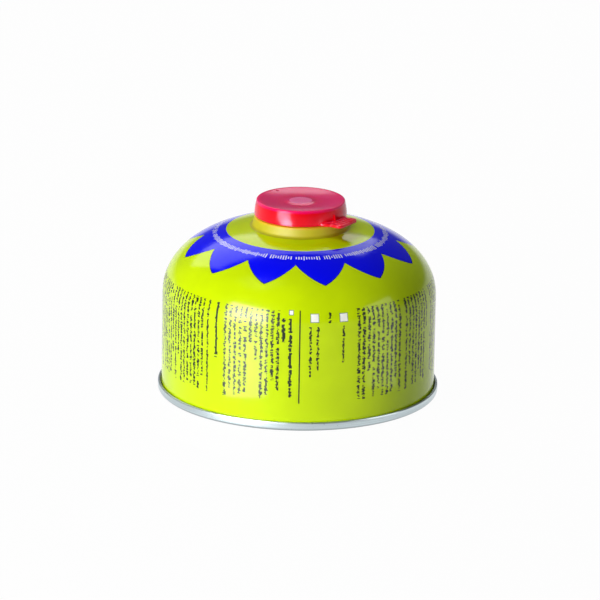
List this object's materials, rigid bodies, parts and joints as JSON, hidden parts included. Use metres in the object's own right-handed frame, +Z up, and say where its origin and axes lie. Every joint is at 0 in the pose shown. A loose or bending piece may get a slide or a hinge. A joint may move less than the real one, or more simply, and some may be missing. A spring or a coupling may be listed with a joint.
{
  "type": "fuel canister",
  "caption": "Low domed screw-on gas canister with a seamed steel base, a petal ring on the shoulder and a pull-off cap over its valve.",
  "frame": {"origin": "centre of the double seam's standing ring, on the surface that the canister stands on", "axes": "+Z up along the canister's axis through the valve; the cap's pull tab points between +X and -Y"},
  "size_m": [0.11, 0.11, 0.0773],
  "materials": {
    "lime_lacquer": "gloss",
    "bare_steel": "bright",
    "tinplate": "satin",
    "black_rubber": "matte",
    "white_plastic": "matte",
    "spring_steel": "satin",
    "red_plastic": "gloss"
  },
  "bodies": {
    "can": {"can_body": "lime_lacquer", "bottom_end": "bare_steel", "valve_cup": "tinplate", "cup_gasket": "black_rubber", "stem_gasket": "black_rubber", "valve_housing": "white_plastic", "valve_spring": "spring_steel"},
    "stem": {"valve_stem": "white_plastic"},
    "cap": {"cap": "red_plastic"}
  },
  "joints": [
    {"name": "cap_lift", "type": "slide", "parent": "can", "child": "cap", "axis": [0, 0, 1], "range_m": [0, 0.025]},
    {"name": "stem_press", "type": "slide", "parent": "can", "child": "stem", "axis": [0, 0, -1], "range_m": [0, 0.0015], "stiffness_N_per_m": 2000, "springref_m": -0.001, "deforming": ["valve_spring"]}
  ]
}
